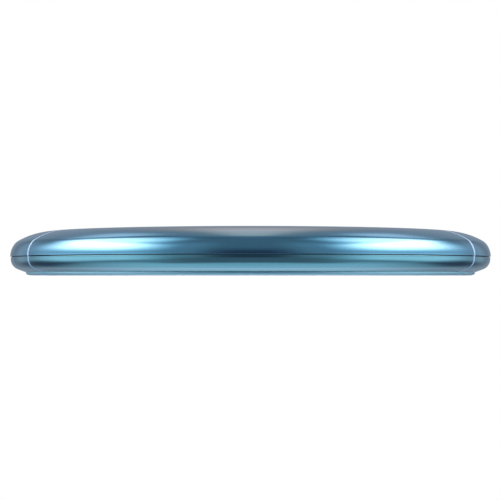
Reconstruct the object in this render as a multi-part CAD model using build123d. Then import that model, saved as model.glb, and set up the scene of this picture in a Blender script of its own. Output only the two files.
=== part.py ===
from build123d import *
from math import cos, radians, sin
import os

# A take-apart exercise hoop: three equal hollow segments round the Z axis, each an upper and a lower shell
# on an inset foot, pushed together over hollow spigots and locked by sprung buttons on the inner wall.
# The origin is on the floor at the hoop's centre. The front is at -Y. Millimetres and degrees.

# Hoop
outer_radius = 400
inner_radius = 300
segment_turn = 120
first_joint = -30            # azimuth of the right joint, a third of a turn before the back one
section_middle = (outer_radius + inner_radius) / 2

# Shells
shell_wall = 2.5
upper_lip = 31               # height of the upper shell's lip, at the hoop's widest
parting_gap = 1.2
lower_setback = 0.8          # how far the lower shell's side stands inside the upper one's
shoulder = [("bend", 34, 35), ("bend", 22, 25), ("bend", 116, 30)]
lower_lip = upper_lip - parting_gap
flank_height = 27            # where the lower shell's side starts to curve under
flank_radius = 18
corner_radius = 12
under_slope = 21
tongue_height = 5
tongue_wall = 1.2
tongue_start = 10.5          # the tongues stop short of the caps, in degrees
tongue_end = 1.5

# Foot
foot_height = 5.6
foot_width = 49
foot_edge = [("bend", 3, 60), ("bend", 13, 30)]
foot_wall = 2.2
foot_rim = 6

# Screws that join the shells, and the posts and wells they stand in
post_places = [14, 32.4, 50.8, 69.2, 87.6, 106]
post_radius = 4.5
post_top = 69
post_meeting = 32
well_radius = 3.8
well_top = 22
well_wall = 1.7
screw_radius = 1.7
screw_end = 46
head_radius = 3.4
head_height = 2.2
peg_radius = 3.7
peg_top = 15
screw_play = 0.05

# Joints between segments. y is measured from the joint's plane, into the segment with the socket.
end_gap = 0.1
ring_thickness = 6
ring_depth = 3.5
socket_start = ring_thickness + end_gap
plate_thickness = 4
plate_inset = shell_wall + 0.2
spigot_length = 46
spigot_inner_face = 305.5
spigot_width = 71.2
spigot_height = 38
spigot_corner = 14
spigot_wall = 3
spigot_middle = spigot_inner_face + spigot_width / 2
spigot_level = 37
slide_play = 0.15
sleeve_wall = 1.8
sleeve_length = 50
web_face = 326
web_thickness = 2.5
pad_width = 34
pad_reach = 12.5
cap_screw_radius = 1.5
cap_screw_head = 3.2
cap_screw_head_height = 1.2
cap_screw_spread = 10
cap_screw_end = 14.5
cap_screw_reach = 12.5

# Snap button
button_radius = 4.8
button_play = 0.2
button_place = 14
button_tip = 298.5
button_shoulder = 300
flange_radius = 6.5
flange_thickness = 1.5
leaf_thickness = 0.6
leaf_width = 9
leaf_start = 8
leaf_end = 41

os.makedirs("parts", exist_ok=True)


def tangent_path(start, heading, moves, inset=0.0):
    """Edges in the XZ plane: straight runs and left-hand bends, each tangent to the one before.

    inset moves the whole path that far to its left, which takes it off each bend's radius.
    """
    x = start[0] - inset * sin(radians(heading))
    z = start[1] + inset * cos(radians(heading))
    edges = []
    for kind, size, *turn in moves:
        if kind == "run":
            end = (x + size * cos(radians(heading)), z + size * sin(radians(heading)))
            edges.append(Edge.make_line((x, 0, z), (end[0], 0, end[1])))
        else:
            radius = size - inset
            centre = (x - radius * sin(radians(heading)), z + radius * cos(radians(heading)))
            middle, last = [heading + turn[0] * share for share in (0.5, 1)]
            on_arc = [
                (centre[0] + radius * sin(radians(h)), 0, centre[1] - radius * cos(radians(h)))
                for h in (middle, last)
            ]
            edges.append(Edge.make_three_point_arc((x, 0, z), *on_arc))
            end = (on_arc[1][0], on_arc[1][2])
            heading = last
        x, z = end
    return edges


def bends_reach(heading, moves):
    """How far a row of bends goes in x and z."""
    x = z = 0.0
    for _, radius, turn in moves:
        x += radius * (sin(radians(heading + turn)) - sin(radians(heading)))
        z -= radius * (cos(radians(heading + turn)) - cos(radians(heading)))
        heading += turn
    return x, z


def upper_path(inset=0.0):
    """The upper shell's outline, from its outer lip over the crown to its inner lip."""
    across, rise = bends_reach(90, shoulder)
    inner_bend = outer_radius + across - inner_radius
    side = rise - inner_bend
    moves = [*shoulder, ("bend", inner_bend, 90), ("run", side)]
    return tangent_path((outer_radius, upper_lip), 90, moves, inset)


def lower_path(inset=0.0):
    """The lower shell's outline, from its inner lip under the floor to its outer lip."""
    flank = ("bend", flank_radius, 90 - under_slope)
    corner = ("bend", corner_radius, under_slope)
    flank_across, flank_drop = bends_reach(-90, [flank])
    corner_across, corner_drop = bends_reach(-under_slope, [corner])
    slope = (flank_height + flank_drop + corner_drop - foot_height) / sin(radians(under_slope))
    half_floor = (
        outer_radius - lower_setback - section_middle
        - flank_across - corner_across - slope * cos(radians(under_slope))
    )
    lip = ("run", lower_lip - flank_height)
    moves = [lip, flank, ("run", slope), corner, ("run", 2 * half_floor)]
    moves += [corner, ("run", slope), flank, lip]
    return tangent_path((inner_radius + lower_setback, lower_lip), -90, moves, inset)


def reversed_path(edges):
    """The same edges from last to first, so that two outlines can bound one face."""
    return [Edge.make_line(e @ 1, e @ 0) if e.geom_type == GeomType.LINE
            else Edge.make_three_point_arc(e @ 1, e @ 0.5, e @ 0) for e in edges[::-1]]


def closed_face(*paths):
    """A face inside rows of edges taken in turn, with straight lines across the gaps between them."""
    edges = []
    for path, following in zip(paths, paths[1:] + paths[:1]):
        edges += [*path, Edge.make_line(path[-1] @ 1, following[0] @ 0)]
    return Face(Wire(edges))


def section_face(inset=0.0):
    """The hoop's whole section without its foot, set in by inset."""
    return closed_face(upper_path(inset), lower_path(inset))


def foot_face():
    """The foot's outline: flat on top, with softly rounded lower edges."""
    rise = -bends_reach(-90, foot_edge)[1]
    across = bends_reach(-90, foot_edge)[0]
    side = ("run", foot_height - rise)
    moves = [side, *foot_edge, ("run", foot_width - 2 * across), *foot_edge[::-1], side]
    return closed_face(tangent_path((section_middle - foot_width / 2, foot_height), -90, moves))


def swept(face, start=0, turn=segment_turn):
    """The face turned round the hoop's axis, from one azimuth on through a turn."""
    return revolve(face.rotate(Axis.Z, start), Axis.Z, turn)


def end_slabs():
    """What a segment's arc loses at its ends, so that its end faces lie square to each joint."""
    reach = (outer_radius - inner_radius) * 1.5
    high = 200
    socket = Pos(section_middle, socket_start / 2, 0) * Box(reach, socket_start, high)
    spigot = Pos(section_middle, -end_gap / 2, 0) * Box(reach, end_gap, high)
    return socket + spigot.rotate(Axis.Z, segment_turn)


def upright(radius, low, high, azimuth=0.0, rho=section_middle, y=0.0):
    """A vertical cylinder at a distance rho from the hoop's axis."""
    place = Pos(rho, y, (low + high) / 2) * Cylinder(radius, high - low)
    return place.rotate(Axis.Z, azimuth)


def upright_at_origin(radius, low, high):
    """A vertical cylinder on the Z axis, for a place given by a location."""
    return Pos(0, 0, (low + high) / 2) * Cylinder(radius, high - low)


def across_wall(radius, low, high):
    """A cylinder along the snap button's line, between two distances from the hoop's axis."""
    return Pos((low + high) / 2, button_place, spigot_level) * Rot(0, 90, 0) * Cylinder(radius, high - low)


def cap_screw_seats():
    """Where the four cap screws of a segment stand: two by its socket, two by its spigot."""
    seats = []
    for x in (section_middle - cap_screw_spread, section_middle + cap_screw_spread):
        seats.append(Pos(x, cap_screw_reach, 0))
        seats.append(Rot(0, 0, segment_turn) * Pos(x, -cap_screw_reach, 0))
    return seats


def upper_shell():
    """The moulded crown, with its screw posts and the snap button's hole."""
    shell = swept(closed_face(upper_path(), reversed_path(upper_path(shell_wall)))) - end_slabs()
    for azimuth in post_places:
        shell += upright(post_radius, post_meeting, post_top, azimuth)
    for azimuth in post_places:
        shell -= upright(screw_radius + screw_play, post_meeting, screw_end + 2, azimuth)
    return shell - across_wall(button_radius + button_play, inner_radius - 5, inner_radius + 5)


def tongues():
    """Ribs rooted in both walls of the lower shell, which close the parting gap from behind."""
    root = lower_setback + shell_wall / 2
    front = shell_wall + 0.6
    back = front + tongue_wall
    low, high = flank_height, lower_lip + tongue_height
    corners = [(root, low), (root, lower_lip), (front, lower_lip), (front, high), (back, high), (back, low)]
    ribs = []
    for rim, inward in ((outer_radius, -1), (inner_radius, 1)):
        points = [(rim + inward * depth, 0, z) for depth, z in corners]
        face = Face(Wire.make_polygon(points))
        ribs.append(swept(face, tongue_start, segment_turn - tongue_start - tongue_end))
    return ribs


def lower_shell():
    """The moulded underside, with tongues along its lips, screw wells and the cap screws' seats."""
    shell = swept(closed_face(lower_path(), reversed_path(lower_path(shell_wall)))) - end_slabs()
    for rib in tongues():
        shell += rib
    for azimuth in post_places:
        shell += upright(well_radius + well_wall, foot_height + 0.5, post_meeting, azimuth)
    for azimuth in post_places:
        shell -= upright(well_radius, foot_height - 1, well_top, azimuth)
        shell -= upright(screw_radius + screw_play * 2, well_top, post_meeting, azimuth)
    for seat in cap_screw_seats():
        shell -= seat * upright_at_origin(cap_screw_radius + screw_play, foot_height, foot_height + 5)
        shell -= seat * upright_at_origin(
            cap_screw_head + screw_play, foot_height - 1, foot_height + cap_screw_head_height
        )
    return shell


def foot_strip():
    """The inset foot that the hoop rests on, with pegs that plug the screw wells."""
    plane = Plane((section_middle, 0, foot_wall + foot_height / 2), x_dir=(1, 0, 0), z_dir=(0, -1, 0))
    recess = Face.make_rect(foot_width - 2 * foot_rim, foot_height, plane)
    foot = swept(foot_face() - recess) - end_slabs()
    for azimuth in post_places:
        foot += upright(peg_radius, foot_wall - 0.5, peg_top, azimuth)
    return foot


def shell_screws():
    """Six pan-head screws, up through the wells into the upper shell's posts."""
    screws = []
    for azimuth in post_places:
        shank = upright(screw_radius, well_top - 1, screw_end, azimuth)
        head = upright(head_radius, well_top - head_height, well_top, azimuth)
        screws.append(shank + head)
    return Compound(screws)


def cap_screws():
    """Four flat-head screws, up through the lower shell's floor into the two end caps."""
    low = foot_height
    screws = []
    for seat in cap_screw_seats():
        head = upright_at_origin(cap_screw_head, low, low + cap_screw_head_height)
        screws.append(seat * (head + upright_at_origin(cap_screw_radius, low, cap_screw_end)))
    return Compound(screws)


def slab(face, low, high):
    """A face in the XZ plane made solid between two distances along Y."""
    return extrude(face.moved(Pos(0, low, 0)), amount=high - low, dir=(0, 1, 0))


def spigot_block(grow, low, high):
    """A rounded bar on the spigot's line, larger than the spigot by grow on every side."""
    plane = Plane((spigot_middle, low, spigot_level), x_dir=(1, 0, 0), z_dir=(0, 1, 0))
    outline = RectangleRounded(
        spigot_width + 2 * grow, spigot_height + 2 * grow, spigot_corner + grow
    )
    return extrude(plane * outline, amount=high - low)


def cap_pad(low, high):
    """The block under a cap, between two distances along Y, that its two screws bite in."""
    floor = foot_height + shell_wall + 0.1
    top = spigot_level - spigot_height / 2 - 1
    pad = Pos(section_middle, (low + high) / 2, (floor + top) / 2) * Box(pad_width, high - low, top - floor)
    for x in (section_middle - cap_screw_spread, section_middle + cap_screw_spread):
        place = Pos(x, cap_screw_reach if low > 0 else -cap_screw_reach, 0)
        pad -= place * upright_at_origin(cap_screw_radius + screw_play, floor - 1, cap_screw_end + 0.5)
    return pad


def spigot_cap():
    """End cap with the hollow spigot that slides into the next segment."""
    plate = slab(section_face(plate_inset), -plate_thickness - end_gap, -end_gap)
    spigot = spigot_block(0, -plate_thickness, spigot_length)
    spigot = chamfer(spigot.faces().sort_by(Axis.Y)[-1].outer_wire().edges(), 1.2)
    spigot -= spigot_block(-spigot_wall, 0, spigot_length + 1)
    web = Pos(web_face + web_thickness / 2, spigot_length / 2 - 1, spigot_level) * Box(
        web_thickness, spigot_length, spigot_height - 2
    )
    cap = plate + spigot + web + cap_pad(-plate_thickness - end_gap - pad_reach, -end_gap - 1)
    hole = across_wall(button_radius + button_play, spigot_inner_face - 2, spigot_inner_face + 6)
    return cap - hole


def socket_cap():
    """End cap with the sleeve that takes the spigot, and a nose that carries the joint ring."""
    nose = slab(section_face(ring_depth + 0.1), end_gap, socket_start + 1)
    plate = slab(section_face(plate_inset), socket_start, socket_start + plate_thickness)
    sleeve = spigot_block(slide_play + sleeve_wall, socket_start, sleeve_length)
    pad = cap_pad(socket_start + 1, socket_start + plate_thickness + pad_reach)
    pocket = spigot_block(slide_play, -1, sleeve_length + 1)
    hole = across_wall(button_radius + button_play, spigot_inner_face - 5, spigot_inner_face + 2)
    return nose + plate + sleeve + pad - pocket - hole


def joint_ring():
    """The thin ring that shows between two segments, all round the section and the foot."""
    face = section_face() + foot_face()
    return slab(face - section_face(ring_depth), end_gap / 2, ring_thickness)


def snap_button():
    """The button, with a domed top on the hoop's inner wall and a flange inside the spigot."""
    back = spigot_inner_face + spigot_wall + 0.1
    dome = Edge.make_three_point_arc(
        (button_tip, 0, 0), (button_tip + 0.35, 0, button_radius * 0.55), (button_shoulder, 0, button_radius)
    )
    corners = [
        (button_shoulder, button_radius), (back, button_radius), (back, flange_radius),
        (back + flange_thickness, flange_radius), (back + flange_thickness, 0), (button_tip, 0),
    ]
    sides = [
        Edge.make_line((a[0], 0, a[1]), (b[0], 0, b[1])) for a, b in zip(corners, corners[1:])
    ]
    turned = revolve(Face(Wire([dome, *sides])), Axis.X, 360)
    return turned.moved(Pos(0, button_place, spigot_level))


def snap_spring():
    """A leaf spring bent to a U, between the button's back and the spigot's web."""
    near = spigot_inner_face + spigot_wall + flange_thickness + 0.2 + leaf_thickness / 2
    far = web_face - 0.1 - leaf_thickness / 2
    half = (far - near) / 2
    route = FilletPolyline(
        (near, leaf_start), (near, leaf_end), (far, leaf_end), (far, leaf_start), radius=half * 0.98
    )
    strip = extrude(trace(route, leaf_thickness), amount=leaf_width)
    return strip.moved(Pos(0, 0, spigot_level - leaf_width / 2))


segment_parts = {
    "upper_shell": upper_shell,
    "lower_shell": lower_shell,
    "foot_strip": foot_strip,
    "shell_screws": shell_screws,
    "cap_screws": cap_screws,
}
joint_parts = {
    "spigot_cap": spigot_cap,
    "socket_cap": socket_cap,
    "joint_ring": joint_ring,
    "snap_button": snap_button,
    "snap_spring": snap_spring,
}

# A segment starts at the joint before it, going round from +X to +Y, and is named for where it lies.
places = [
    (segment_parts, ["right", "left", "front"]),
    (joint_parts, ["right", "back", "left"]),
]
for parts, names in places:
    for kind, make in parts.items():
        shape = make()
        for count, name in enumerate(names):
            turned = shape.rotate(Axis.Z, first_joint + count * segment_turn)
            export_step(turned, f"parts/{kind}_{name}.step")
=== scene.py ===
from math import cos, pi, radians, sin

import bmesh
import bpy
from mathutils import Matrix, Vector


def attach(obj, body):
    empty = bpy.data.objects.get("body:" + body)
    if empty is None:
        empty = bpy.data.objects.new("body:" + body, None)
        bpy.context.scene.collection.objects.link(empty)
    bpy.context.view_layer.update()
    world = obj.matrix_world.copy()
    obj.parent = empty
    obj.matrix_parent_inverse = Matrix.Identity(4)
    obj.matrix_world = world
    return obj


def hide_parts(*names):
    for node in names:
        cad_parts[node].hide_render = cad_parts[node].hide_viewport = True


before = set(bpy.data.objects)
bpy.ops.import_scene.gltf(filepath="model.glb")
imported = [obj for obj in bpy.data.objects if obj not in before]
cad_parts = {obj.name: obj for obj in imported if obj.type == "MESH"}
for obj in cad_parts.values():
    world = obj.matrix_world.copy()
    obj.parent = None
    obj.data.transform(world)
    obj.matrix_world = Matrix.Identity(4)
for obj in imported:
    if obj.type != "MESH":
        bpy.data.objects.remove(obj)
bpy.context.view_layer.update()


# The viewpoint: level with the foot and three hoops' widths back, so that the hoop shows edge-on
# and its near and far sides look almost the same size. A small shift puts it just below the middle.
view_distance = 2.44
view_height = 0.0008
view_camera = bpy.data.cameras.new("view")
view_camera.sensor_width = 36
view_camera.lens = 104.1
view_camera.shift_x = -0.001
view_camera.shift_y = 0.05
view = bpy.data.objects.new("view", view_camera)
view.location = (0, -view_distance, view_height)
view.rotation_euler = (pi / 2, 0, 0)
bpy.context.scene.collection.objects.link(view)
bpy.context.scene.camera = view
bpy.context.scene.view_settings.view_transform = "Standard"


# The studio: a pale floor, and a soft white room that the paint mirrors. Two tall soft lights stand left
# and right of the hoop, the room is dark behind the viewer, and what lies under the hoop is bright.
def add_node(tree, kind, inputs=None, **settings):
    """A node with its settings made and its inputs filled, from numbers, colours or other sockets."""
    made = tree.nodes.new(kind)
    for key, value in settings.items():
        setattr(made, key, value)
    for key, value in (inputs or {}).items():
        if isinstance(value, bpy.types.NodeSocket):
            tree.links.new(value, made.inputs[key])
        else:
            made.inputs[key].default_value = value
    return made


def sums(tree, operation, *values):
    """One Math node's result."""
    return add_node(tree, "ShaderNodeMath", dict(enumerate(values)), operation=operation).outputs[0]


def ramped(tree, value, low, high, from_value=0.0, to_value=1.0):
    """A smooth step of value between low and high."""
    inputs = {0: value, 1: low, 2: high, 3: from_value, 4: to_value}
    step = add_node(tree, "ShaderNodeMapRange", inputs, interpolation_type="SMOOTHSTEP")
    return step.outputs[0]


def blended(tree, share, first, second):
    """A colour between two, by the share of the second."""
    inputs = {0: share, 6: first, 7: second}
    return add_node(tree, "ShaderNodeMix", inputs, data_type="RGBA").outputs[2]


def patch(tree, along, up, sides, heights, strength):
    """A soft-edged patch of light, from its rising and falling edges in degrees round and up."""
    shape = 1.0
    for value, (a, b, c, d) in ((along, sides), (up, heights)):
        rise = ramped(tree, value, radians(a), radians(b))
        fall = ramped(tree, value, radians(c), radians(d), 1.0, 0.0)
        shape = sums(tree, "MULTIPLY", shape, sums(tree, "MULTIPLY", rise, fall))
    return sums(tree, "MULTIPLY", shape, strength)


def light_the_room():
    """The room's light by direction: round from the viewer's side to the far side, and up."""
    world = bpy.data.worlds.new("studio")
    bpy.context.scene.world = world
    world.use_nodes = True
    tree = world.node_tree
    tree.nodes.clear()
    direction = add_node(tree, "ShaderNodeTexCoord").outputs["Generated"]
    x, y, z = add_node(tree, "ShaderNodeSeparateXYZ", {0: direction}).outputs
    along = sums(tree, "ARCTAN2", sums(tree, "ABSOLUTE", x), sums(tree, "MULTIPLY", y, -1.0))
    up = sums(tree, "ARCSINE", z)

    walls = ramped(tree, up, radians(-10), radians(50), 0.15, 0.21)
    walls = sums(tree, "ADD", walls, ramped(tree, along, radians(110), radians(165), 0.0, 0.05))
    below_front = ramped(tree, up, radians(-70), radians(-48), 0.72, 0.08)
    below_side = ramped(tree, up, radians(-64), radians(-26), 0.82, 0.02)
    sideways = ramped(tree, along, radians(45), radians(75))
    below = add_node(tree, "ShaderNodeMix", {0: sideways, 2: below_front, 3: below_side}).outputs[0]
    below_back = ramped(tree, up, radians(-44), radians(-20), 0.76, 0.12)
    behind = ramped(tree, along, radians(140), radians(165))
    below = add_node(tree, "ShaderNodeMix", {0: behind, 2: below, 3: below_back}).outputs[0]
    light = sums(tree, "ADD", walls, below)
    for sides, heights, strength in (
        ((34, 76, 92, 132), (4, 32, 36, 50), 4.7),
        ((46, 86, 118, 141), (28, 46, 54, 78), 3.0),
        ((98, 118, 136, 152), (-18, -4, 16, 34), 0.32),
        ((12, 30, 46, 70), (-24, 0, 44, 64), 0.18),
        ((30, 66, 96, 126), (-32, -12, 0, 14), 1.2),
        ((20, 60, 90, 120), (-66, -34, -24, -12), 0.2),
        ((170, 178, 181, 190), (20, 44, 58, 74), 0.42),
        ((136, 154, 160, 167), (31, 41, 45, 52), 0.75),
    ):
        light = sums(tree, "ADD", light, patch(tree, along, up, sides, heights, strength))
    for sides, heights, strength in (
        ((88, 118, 134, 154), (-42, -30, -22, -8), 0.5),
        ((-40, -30, 6, 30), (-14, -4, 8, 34), 0.66),
    ):
        dark = patch(tree, along, up, sides, heights, strength)
        light = sums(tree, "MULTIPLY", light, sums(tree, "SUBTRACT", 1.0, dark))

    cool = ramped(tree, light, 0.5, 2.6, 1.0, 0.0)
    tint = blended(tree, cool, (1, 1, 1, 1), (0.78, 0.97, 1.22, 1))
    deep = ramped(tree, light, 0.05, 0.3, 1.0, 0.0)
    tint = blended(tree, deep, tint, (0.85, 1.0, 1.6, 1))
    lilac = patch(tree, along, up, (166, 176, 181, 190), (12, 34, 60, 78), 1.0)
    tint = blended(tree, lilac, tint, (1.3, 1.02, 1.0, 1))
    warm = ramped(tree, light, 1.2, 4.0)
    tint = blended(tree, warm, tint, (1.32, 1.0, 0.97, 1))
    mirrored = add_node(tree, "ShaderNodeBackground", {"Color": tint, "Strength": light})
    seen = add_node(tree, "ShaderNodeBackground", {"Color": (1, 1, 1, 1), "Strength": 1.0})
    eye = add_node(tree, "ShaderNodeLightPath").outputs["Is Camera Ray"]
    mixed = add_node(tree, "ShaderNodeMixShader", {0: eye, 1: mirrored.outputs[0], 2: seen.outputs[0]})
    add_node(tree, "ShaderNodeOutputWorld", {"Surface": mixed.outputs[0]})


def placed(name, mesh):
    """An object of a mesh, at the origin."""
    piece = bpy.data.objects.new(name, mesh)
    bpy.context.scene.collection.objects.link(piece)
    return piece


light_the_room()

floor_half = 6.0
floor_level = -0.0002
floor_mesh = bpy.data.meshes.new("floor")
floor_mesh.from_pydata(
    [(a * floor_half, b * floor_half, floor_level) for a, b in ((-1, -1), (1, -1), (1, 1), (-1, 1))],
    [], [(0, 1, 2, 3)],
)
floor = placed("floor", floor_mesh)
floor.visible_glossy = False
floor_paint = bpy.data.materials.new("floor_paper")
floor_paint.use_nodes = True
floor_surface = floor_paint.node_tree.nodes["Principled BSDF"]
floor_surface.inputs["Base Color"].default_value = (0.84, 0.9, 0.905, 1)
floor_surface.inputs["Roughness"].default_value = 1.0
floor_surface.inputs["Specular IOR Level"].default_value = 0.0
floor_mesh.materials.append(floor_paint)


# The upper shells: three moulded ABS crowns, each a third of the hoop, painted metallic blue under clear
# lacquer. Each is swept from its wall's section, and its ends are trimmed square to the joints. The hole
# on the inner wall is for the snap button.
millimetre = 0.001
outer_radius = 400
inner_radius = 300
shell_wall = 2.5
upper_lip = 31
lip_round = 0.4
shoulder = (("bend", 34, 35), ("bend", 22, 25), ("bend", 116, 30))
segment_starts = {"right": -30, "left": 90, "front": 210}
socket_trim = 6.1
spigot_trim = 0.1
sweep_steps = 220
segment_turn = 120
hole_along = 14
hole_height = 37
hole_radius = 5
bore_depth = 12


def outline(start, heading, moves, inset=0.0, step=4.0):
    """Points of a path of straight runs and left-hand bends, with inset as its distance to the left."""
    x = start[0] - inset * sin(radians(heading))
    z = start[1] + inset * cos(radians(heading))
    points = [(x, z)]
    for kind, size, *turn in moves:
        if kind == "run":
            x, z = x + size * cos(radians(heading)), z + size * sin(radians(heading))
            points.append((x, z))
            continue
        radius = size - inset
        middle = (x - radius * sin(radians(heading)), z + radius * cos(radians(heading)))
        pieces = max(3, round(radius * radians(turn[0]) / (step * 0.5)), round(turn[0] / step))
        for number in range(1, pieces + 1):
            angle = radians(heading + turn[0] * number / pieces)
            x, z = middle[0] + radius * sin(angle), middle[1] - radius * cos(angle)
            points.append((x, z))
        heading += turn[0]
    return points


def reach(heading, moves):
    """How far a row of bends goes, across and up."""
    points = outline((0, 0), heading, moves)
    return points[-1]


def upper_outline(inset=0.0):
    """The crown's outline, from its outer lip over to its inner one."""
    across, rise = reach(90, shoulder)
    inner_bend = outer_radius + across - inner_radius
    moves = [*shoulder, ("bend", inner_bend, 90), ("run", rise - inner_bend)]
    return outline((outer_radius, upper_lip), 90, moves, inset)


def rounded_corner(corner, arriving, leaving, size):
    """Points of a small quarter round, in place of a square corner of a section."""
    quarter = [number / 4 * pi / 2 for number in range(5)]
    return [corner - arriving * size * (1 - sin(t)) + leaving * size * (1 - cos(t)) for t in quarter]


def closed_section(*paths, size=lip_round):
    """Joins open outlines, taken in turn, into one closed loop with its corners rounded."""
    paths = [[Vector(point) for point in path] for path in paths]
    loop = []
    for path, following in zip(paths, paths[1:] + paths[:1]):
        before = (path[-1] - path[-2]).normalized()
        across = (following[0] - path[-1]).normalized()
        after = (following[1] - following[0]).normalized()
        loop += path[1:-1]
        loop += rounded_corner(path[-1], before, across, size)
        loop += rounded_corner(following[0], across, after, size)
    return loop


def sweep_tree():
    """Geometry Nodes: sweeps a closed section round the hoop, from one joint's plane to the next."""
    tree = bpy.data.node_groups.new("sweep_segment", "GeometryNodeTree")
    face = tree.interface
    face.new_socket("Section", in_out="INPUT", socket_type="NodeSocketGeometry")
    for name, kind in (
        ("Azimuth", "Float"), ("Turn", "Float"), ("Socket Trim", "Float"),
        ("Spigot Trim", "Float"), ("Steps", "Int"), ("Paint", "Material"),
    ):
        face.new_socket(name, in_out="INPUT", socket_type="NodeSocket" + kind)
    face.new_socket("Segment", in_out="OUTPUT", socket_type="NodeSocketGeometry")
    given = tree.nodes.new("NodeGroupInput").outputs
    rail = add_node(
        tree, "GeometryNodeCurvePrimitiveLine", {"Start": (0, 0, 0), "End": (0, 1, 0)}, mode="POINTS"
    )
    rail = add_node(
        tree, "GeometryNodeResampleCurve", {"Curve": rail.outputs[0], "Count": given["Steps"]}
    )
    rail = add_node(tree, "GeometryNodeSetCurveNormal", {"Curve": rail.outputs[0]}, mode="Z_UP")
    loop = add_node(tree, "GeometryNodeMeshToCurve", {"Mesh": given["Section"]})
    bar = add_node(
        tree, "GeometryNodeCurveToMesh",
        {"Curve": rail.outputs[0], "Profile Curve": loop.outputs[0], "Fill Caps": True},
    )
    place = add_node(tree, "GeometryNodeInputPosition").outputs[0]
    rho, along, height = add_node(tree, "ShaderNodeSeparateXYZ", {0: place}).outputs
    start = sums(tree, "ARCSINE", sums(tree, "DIVIDE", given["Socket Trim"], rho))
    stop = sums(
        tree, "SUBTRACT", given["Turn"],
        sums(tree, "ARCSINE", sums(tree, "DIVIDE", given["Spigot Trim"], rho)),
    )
    angle = add_node(tree, "ShaderNodeMix", {0: along, 2: start, 3: stop}).outputs[0]
    angle = sums(tree, "ADD", angle, given["Azimuth"])
    x = sums(tree, "MULTIPLY", rho, sums(tree, "COSINE", angle))
    y = sums(tree, "MULTIPLY", rho, sums(tree, "SINE", angle))
    swung = add_node(tree, "ShaderNodeCombineXYZ", {0: x, 1: y, 2: height}).outputs[0]
    moved = add_node(tree, "GeometryNodeSetPosition", {"Geometry": bar.outputs[0], "Position": swung})
    real = add_node(tree, "GeometryNodeRealizeInstances", {"Geometry": moved.outputs[0]})
    painted = add_node(
        tree, "GeometryNodeSetMaterial", {"Geometry": real.outputs[0], "Material": given["Paint"]}
    )
    add_node(tree, "NodeGroupOutput", {0: painted.outputs[0]})
    return tree


def set_input(modifier, name, value):
    """Sets one named input of a Geometry Nodes modifier, by the identifier of its socket."""
    for item in modifier.node_group.interface.items_tree:
        if item.item_type == "SOCKET" and item.in_out == "INPUT" and item.name == name:
            modifier[item.identifier] = value


def settle(piece, crease=32):
    """Turns a piece with its modifiers into one plain mesh that faces outwards and shades smoothly."""
    bpy.context.view_layer.update()
    mesh = bpy.data.meshes.new_from_object(piece.evaluated_get(bpy.context.evaluated_depsgraph_get()))
    mesh.name = piece.name
    piece.modifiers.clear()
    piece.data = mesh
    work = bmesh.new()
    work.from_mesh(mesh)
    bmesh.ops.remove_doubles(work, verts=work.verts, dist=1e-6)
    bmesh.ops.recalc_face_normals(work, faces=work.faces)
    work.to_mesh(mesh)
    work.free()
    mesh.shade_smooth()
    mesh.set_sharp_from_angle(angle=radians(crease))
    return piece


def swept_segment(name, section, azimuth, paint, trims=(socket_trim, spigot_trim)):
    """A piece swept from a closed section. The sweep takes the section's height along -Y."""
    mesh = bpy.data.meshes.new(name + "_section")
    count = len(section)
    mesh.from_pydata(
        [(x * millimetre, -z * millimetre, 0) for x, z in section],
        [(number, (number + 1) % count) for number in range(count)], [],
    )
    piece = placed(name, mesh)
    sweep = piece.modifiers.new("sweep", "NODES")
    sweep.node_group = segment_sweep
    set_input(sweep, "Azimuth", radians(azimuth))
    set_input(sweep, "Turn", radians(segment_turn))
    set_input(sweep, "Socket Trim", trims[0] * millimetre)
    set_input(sweep, "Spigot Trim", trims[1] * millimetre)
    set_input(sweep, "Steps", sweep_steps)
    set_input(sweep, "Paint", paint)
    return settle(piece)


def bored(piece, centre, direction, radius, depth):
    """Cuts a round hole through a piece."""
    bpy.ops.mesh.primitive_cylinder_add(vertices=64, radius=radius, depth=depth, location=centre)
    drill = bpy.context.object
    drill.rotation_mode = "QUATERNION"
    drill.rotation_quaternion = Vector(direction).to_track_quat("Z", "Y")
    cut = piece.modifiers.new("hole", "BOOLEAN")
    cut.object = drill
    cut.solver = "EXACT"
    settle(piece)
    bpy.data.objects.remove(drill)
    return piece


def noise(tree, place, scale, detail):
    """The grey value of a noise pattern, of a given scale per metre."""
    inputs = {"Vector": place, "Scale": scale, "Detail": detail}
    return add_node(tree, "ShaderNodeTexNoise", inputs).outputs[0]


def roughened(tree, strength, distance, height):
    """A surface direction shaken by a pattern's height."""
    inputs = {"Strength": strength, "Distance": distance, "Height": height}
    return add_node(tree, "ShaderNodeBump", inputs).outputs[0]


def new_surface(name):
    """A new material, with its node tree, its surface and the object's own coordinates."""
    material = bpy.data.materials.new(name)
    material.use_nodes = True
    tree = material.node_tree
    surface = tree.nodes["Principled BSDF"]
    return material, tree, surface, add_node(tree, "ShaderNodeTexCoord").outputs["Object"]


def finished(tree, surface, tone, spread, roughness, normal, metallic=1.0):
    """Joins up a surface: its colour, its roughness from low to high by a pattern, and its grain."""
    rough = add_node(tree, "ShaderNodeMapRange", {0: spread, 3: roughness[0], 4: roughness[1]})
    tree.links.new(tone, surface.inputs["Base Color"])
    tree.links.new(rough.outputs[0], surface.inputs["Roughness"])
    tree.links.new(normal, surface.inputs["Normal"])
    surface.inputs["Metallic"].default_value = metallic


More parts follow.
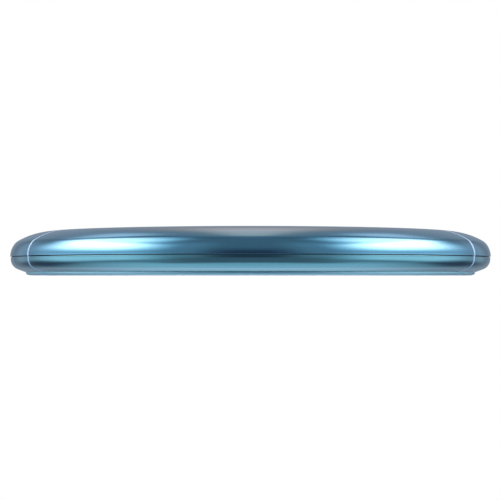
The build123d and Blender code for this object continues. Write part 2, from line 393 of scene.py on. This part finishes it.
def hoop_paint(name, colour, roughness, flake=0.12, lacquer=0.6, metallic=1.0):
    """Metallic blue paint with fine flakes and turning lines round the hoop, under clear lacquer."""
    paint, tree, surface, place = new_surface(name)
    x, y, z = add_node(tree, "ShaderNodeSeparateXYZ", {0: place}).outputs
    rho = sums(tree, "SQRT", sums(tree, "ADD", sums(tree, "MULTIPLY", x, x), sums(tree, "MULTIPLY", y, y)))
    around = sums(tree, "MULTIPLY", sums(tree, "ARCTAN2", y, x), 0.004)
    lined = add_node(tree, "ShaderNodeCombineXYZ", {0: rho, 1: z, 2: around}).outputs[0]
    lines = noise(tree, lined, 1400.0, 3.0)
    cells = add_node(tree, "ShaderNodeTexVoronoi", {"Vector": place, "Scale": 2600.0}).outputs["Color"]
    cell = add_node(tree, "ShaderNodeSeparateColor", {0: cells}).outputs[0]
    cloud = noise(tree, place, 9.0, 4.0)
    darker = [channel * (1 - flake) for channel in colour]
    lighter = [min(1.0, channel * (1 + flake)) for channel in colour]
    spoke = add_node(tree, "ShaderNodeCombineXYZ", {0: sums(tree, "ARCTAN2", y, x)}).outputs[0]
    streaks = noise(tree, spoke, 70.0, 3.0)
    blend = sums(tree, "ADD", sums(tree, "MULTIPLY", cell, 0.5), sums(tree, "MULTIPLY", cloud, 0.2))
    blend = sums(tree, "ADD", blend, sums(tree, "MULTIPLY", streaks, 0.3))
    tone = blended(tree, blend, (*darker, 1), (*lighter, 1))
    spread = sums(tree, "ADD", sums(tree, "MULTIPLY", lines, 0.5), sums(tree, "MULTIPLY", cell, 0.5))
    span = (roughness * 0.75, roughness * 1.25)
    finished(tree, surface, tone, spread, span, roughened(tree, 0.05, 0.0002, lines), metallic)
    surface.inputs["Coat Weight"].default_value = lacquer
    surface.inputs["Coat Roughness"].default_value = 0.05
    return paint


segment_sweep = sweep_tree()
shell_paint = hoop_paint("shell_paint", (0.125, 0.335, 0.44), 0.16)
upper_section = closed_section(upper_outline(), upper_outline(shell_wall)[::-1])
for side, azimuth in segment_starts.items():
    crown = swept_segment("crown_" + side, upper_section, azimuth, shell_paint)
    turn = Matrix.Rotation(radians(azimuth), 3, "Z")
    centre = turn @ Vector((inner_radius, hole_along, hole_height)) * millimetre
    bored(crown, centre, turn @ Vector((1, 0, 0)), hole_radius * millimetre, bore_depth * millimetre)
    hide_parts("upper_shell_" + side)
    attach(crown, side + "_segment")


# The lower shells: three moulded ABS undersides, painted like the crowns. They stand back a little from
# the crowns' lips, so a dark line runs round the hoop. A tongue of dark plastic inside each wall closes
# that line, all but near the joints; the tongue's blue-black colour is painted shade, standing in for the
# shadow in the line.
lower_setback = 0.8
lower_lip = 29.8
flank_height = 27
flank_radius = 18
corner_radius = 12
under_slope = 21
foot_height = 5.6
section_middle = (outer_radius + inner_radius) / 2
tongue_root = 2.05
tongue_front = 3.1
tongue_back = 4.3
tongue_top = 34.8
tongue_trims = (72, 10)


def lower_outline(inset=0.0):
    """The underside's outline, from its inner lip round to its outer one."""
    flank = ("bend", flank_radius, 90 - under_slope)
    corner = ("bend", corner_radius, under_slope)
    flank_across, flank_drop = reach(-90, [flank])
    corner_across, corner_drop = reach(-under_slope, [corner])
    slope = (flank_height + flank_drop + corner_drop - foot_height) / sin(radians(under_slope))
    half_floor = (
        outer_radius - lower_setback - section_middle
        - flank_across - corner_across - slope * cos(radians(under_slope))
    )
    lip = ("run", lower_lip - flank_height)
    half = [lip, flank, ("run", slope), corner]
    moves = [*half, ("run", 2 * half_floor), *half[::-1]]
    return outline((inner_radius + lower_setback, lower_lip), -90, moves, inset)


def nylon(name, dark=(0.012, 0.014, 0.017), pale=(0.03, 0.033, 0.038)):
    """Dark moulded plastic, with pale specks of glass fibre and a fine grain."""
    plastic, tree, surface, place = new_surface(name)
    grain = noise(tree, place, 1100.0, 5.0)
    cloud = noise(tree, place, 60.0, 3.0)
    speck = ramped(tree, grain, 0.66, 0.74)
    tone = blended(tree, cloud, (*dark, 1), (*pale, 1))
    tone = blended(tree, speck, tone, (0.12, 0.125, 0.13, 1))
    normal = roughened(tree, 0.25, 0.0001, grain)
    finished(tree, surface, tone, cloud, (0.42, 0.6), normal, metallic=0.0)
    return plastic


def tongue_section(rim, inward):
    """A tongue's section, rooted in one wall of the lower shell and reaching up behind the crown's lip."""
    low = flank_height
    steps = [
        (tongue_root, low), (tongue_root, lower_lip - 0.5), (tongue_front, lower_lip),
        (tongue_front, tongue_top), (tongue_back, tongue_top), (tongue_back, low),
    ]
    return [(rim + inward * depth, height) for depth, height in steps]


def joined(name, pieces):
    """Several meshes made one piece."""
    bpy.ops.object.select_all(action="DESELECT")
    for piece in pieces:
        piece.select_set(True)
    bpy.context.view_layer.objects.active = pieces[0]
    bpy.ops.object.join()
    pieces[0].name = name
    return pieces[0]


# The same paint as the crowns, shifted to a greener blue: the shift is painted reflection of the pale
# floor below.
under_paint_and_reflection = hoop_paint("under_paint_and_reflection", (0.14, 0.36, 0.405), 0.17)
# The tongue's blue-black colour is painted shade: it stands in for the shadow inside the dark line.
tongue_painted_shade = nylon("tongue_painted_shade", (0.012, 0.03, 0.045), (0.025, 0.05, 0.07))
lower_section = closed_section(lower_outline(), lower_outline(shell_wall)[::-1])
for side, azimuth in segment_starts.items():
    under = [swept_segment("under_" + side, lower_section, azimuth, under_paint_and_reflection)]
    for rim, inward in ((outer_radius, -1), (inner_radius, 1)):
        rib = tongue_section(rim, inward)
        under.append(swept_segment("tongue", rib, azimuth, tongue_painted_shade, trims=tongue_trims))
    under = joined("under_" + side, under)
    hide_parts("lower_shell_" + side)
    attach(under, side + "_segment")


# The foot strips: the inset ring that the hoop rests on, in three moulded lengths with a satin finish,
# painted paler than the shells; the paler colour is painted reflection of the bright floor under the foot.
# The CAD's strips are hollow on top, with pegs that stand in the screw wells with a little play.
# Both are out of sight, so these are plain and solid.
foot_width = 49
foot_edge = (("bend", 3, 60), ("bend", 13, 30))


def foot_outline():
    """The foot's outline, down one side and up the other, open at its top."""
    across, rise = reach(-90, foot_edge)
    side_run = ("run", foot_height + rise)
    moves = [side_run, *foot_edge, ("run", foot_width - 2 * across), *foot_edge[::-1], side_run]
    return outline((section_middle - foot_width / 2, foot_height), -90, moves)


# The foot's pale blue is painted reflection of the bright floor under it; the real foot is the shells'
# blue.
foot_paint_and_reflection = hoop_paint("foot_paint_and_reflection", (0.36, 0.68, 0.76), 0.4, metallic=0.5)
for side, azimuth in segment_starts.items():
    foot = swept_segment("foot_" + side, closed_section(foot_outline(), size=0.2), azimuth, foot_paint_and_reflection)
    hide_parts("foot_strip_" + side)
    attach(foot, side + "_segment")


# The joint rings: a thin plate of pale blue anodised aluminium round each joint, over the whole section
# and the foot, clamped between the two end caps. Only its chamfered rim shows, as a bright line.
ring_joints = {"right": -30, "back": 90, "left": 210}
ring_start = 0.05
ring_end = 6.0
ring_depth = 3.5
ring_edge = 0.3
ring_middle_height = 37


def anodised(name, colour):
    """Pale anodised aluminium, with a fine brushed grain and slightly varied tone."""
    metal, tree, surface, place = new_surface(name)
    grain = noise(tree, place, 900.0, 4.0)
    low = [channel * 0.9 for channel in colour]
    tone = blended(tree, grain, (*low, 1), (*colour, 1))
    finished(tree, surface, tone, grain, (0.6, 0.75), roughened(tree, 0.1, 0.0001, grain))
    return metal


def ring_plate(name, azimuth):
    """A ring whose rim is drawn in a little at both faces, so that its outer edges are chamfered."""
    window = upper_outline(ring_depth) + lower_outline(ring_depth)
    lower = lower_outline()
    floor_start = next(n for n, p in enumerate(lower) if abs(p[1] - foot_height) < 1e-6)
    floor_stop = max(n for n, p in enumerate(lower) if abs(p[1] - foot_height) < 1e-6)
    foot = foot_outline()
    rim = upper_outline() + lower[:floor_start] + foot + lower[floor_stop + 1:]
    work = bmesh.new()
    middle = Vector((section_middle, ring_middle_height))
    near, far = ring_start + ring_edge, ring_end - ring_edge
    rim_rows = ((ring_start, ring_edge), (near, 0), (far, 0), (ring_end, ring_edge))
    rows = []
    for loop, depths in ((rim, rim_rows), (window, ((ring_end, 0), (ring_start, 0)))):
        for along, drawn_in in depths:
            row = []
            for point in loop:
                inward = (middle - Vector(point)).normalized() * drawn_in
                x, z = Vector(point) + inward
                row.append(work.verts.new(Vector((x, along, z)) * millimetre))
            rows.append(row)
    for first, second in ((0, 1), (1, 2), (2, 3), (4, 5)):
        for n in range(len(rows[first])):
            after = (n + 1) % len(rows[first])
            work.faces.new((rows[first][n], rows[first][after], rows[second][after], rows[second][n]))
    for outer, inner in ((3, 4), (0, 5)):
        edges = []
        for row in (rows[outer], rows[inner]):
            for n in range(len(row)):
                edges.append(work.edges.get((row[n], row[(n + 1) % len(row)])))
        bmesh.ops.triangle_fill(work, use_beauty=True, use_dissolve=False, edges=edges)
    mesh = bpy.data.meshes.new(name)
    work.to_mesh(mesh)
    work.free()
    mesh.transform(Matrix.Rotation(radians(azimuth), 4, "Z"))
    return settle(placed(name, mesh))


ring_metal = anodised("ring_metal", (0.45, 0.66, 0.82))
ring_bodies = {"right": "right_segment", "back": "left_segment", "left": "front_segment"}
for joint, azimuth in ring_joints.items():
    ring = ring_plate("ring_" + joint, azimuth)
    ring.data.materials.append(ring_metal)
    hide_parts("joint_ring_" + joint)
    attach(ring, ring_bodies[joint])


# The end caps: black glass-filled nylon mouldings, one with the hollow spigot and one with the sleeve
# that takes it. They close the segments' ends and are seen only when the hoop is pulled apart.
def softened(name, node, material, width=0.35):
    """A copy of a CAD node with its sharp edges slightly rounded, as a moulding's are."""
    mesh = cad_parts[node].data.copy()
    piece = placed(name, mesh)
    work = bmesh.new()
    work.from_mesh(mesh)
    bmesh.ops.remove_doubles(work, verts=work.verts, dist=1e-6)
    bmesh.ops.dissolve_limit(work, angle_limit=radians(0.5), verts=work.verts, edges=work.edges)
    work.to_mesh(mesh)
    work.free()
    mesh.materials.clear()
    mesh.materials.append(material)
    edge = piece.modifiers.new("edge", "BEVEL")
    edge.width = width * millimetre
    edge.segments = 2
    edge.limit_method = "ANGLE"
    edge.angle_limit = radians(40)
    return settle(piece, 40)


cap_plastic = nylon("cap_plastic")
spigot_bodies = {"right": "front_segment", "back": "right_segment", "left": "left_segment"}
for joint in ring_joints:
    for kind, bodies in (("spigot_cap_", spigot_bodies), ("socket_cap_", ring_bodies)):
        cap = softened("moulded_" + kind + joint, kind + joint, cap_plastic)
        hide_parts(kind + joint)
        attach(cap, bodies[joint])


# The snap buttons: turned stainless buttons with a polished dome, which stand just proud of the inner
# wall, and a flange that keeps each one inside its spigot.
button_profile = [
    (298.5, 0.0), (298.52, 1.0), (298.6, 2.0), (298.78, 2.9), (299.05, 3.6), (299.4, 4.2), (299.8, 4.6),
    (300.2, 4.78), (301.5, 4.8), (302.0, 4.55), (302.6, 4.55), (303.1, 4.8), (308.5, 4.8),
    (308.6, 4.9), (308.6, 6.3), (308.8, 6.5), (309.9, 6.5), (310.1, 6.3), (310.1, 0.0),
]


def turned(name, profile, azimuth, sides=72):
    """A lathe-turned piece, from the radius of the cut at each distance from the hoop's axis."""
    work = bmesh.new()
    rows = []
    for x, radius in profile:
        if radius == 0:
            rows.append([work.verts.new((x, 0, 0))])
            continue
        angles = [2 * pi * number / sides for number in range(sides)]
        rows.append([work.verts.new((x, radius * cos(a), radius * sin(a))) for a in angles])
    for first, second in zip(rows, rows[1:]):
        for n in range(sides):
            after = (n + 1) % sides
            face = [first[n % len(first)], first[after % len(first)]]
            face += [second[after % len(second)], second[n % len(second)]]
            work.faces.new(dict.fromkeys(face))
    mesh = bpy.data.meshes.new(name)
    work.to_mesh(mesh)
    work.free()
    mesh.transform(Matrix.Translation((0, hole_along, hole_height)))
    mesh.transform(Matrix.Rotation(radians(azimuth), 4, "Z") @ Matrix.Scale(millimetre, 4))
    return settle(placed(name, mesh))


def turned_steel(name, colour, roughness):
    """Machined steel with a faint grain."""
    metal, tree, surface, place = new_surface(name)
    grain = noise(tree, place, 2200.0, 3.0)
    low = [channel * 0.8 for channel in colour]
    tone = blended(tree, grain, (*low, 1), (*colour, 1))
    finished(tree, surface, tone, grain, roughness, roughened(tree, 0.08, 0.0001, grain))
    return metal


button_steel = turned_steel("button_steel", (0.66, 0.67, 0.69), (0.12, 0.26))
for joint, azimuth in ring_joints.items():
    button = turned("button_" + joint, button_profile, azimuth)
    button.data.materials.append(button_steel)
    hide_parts("snap_button_" + joint)
    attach(button, joint + "_button")


# The leaf springs: blued steel strip bent to a U, one inside each spigot, behind its button. They keep
# the CAD's own shape and are given their metal.
def coated(node, material):
    """Gives a CAD node its one material."""
    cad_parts[node].data.materials.clear()
    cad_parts[node].data.materials.append(material)


spring_steel = turned_steel("spring_steel", (0.2, 0.24, 0.34), (0.22, 0.4))
for joint in ring_joints:
    coated("snap_spring_" + joint, spring_steel)


# The screws: zinc-plated steel, put in from below before the foot strips go on and cover them. They hold
# each segment's two shells together, and hold its end caps. They keep the CAD's own shape.
screw_steel = turned_steel("screw_steel", (0.58, 0.6, 0.63), (0.2, 0.38))
for side in segment_starts:
    for kind in ("shell_screws_", "cap_screws_"):
        coated(kind + side, screw_steel)
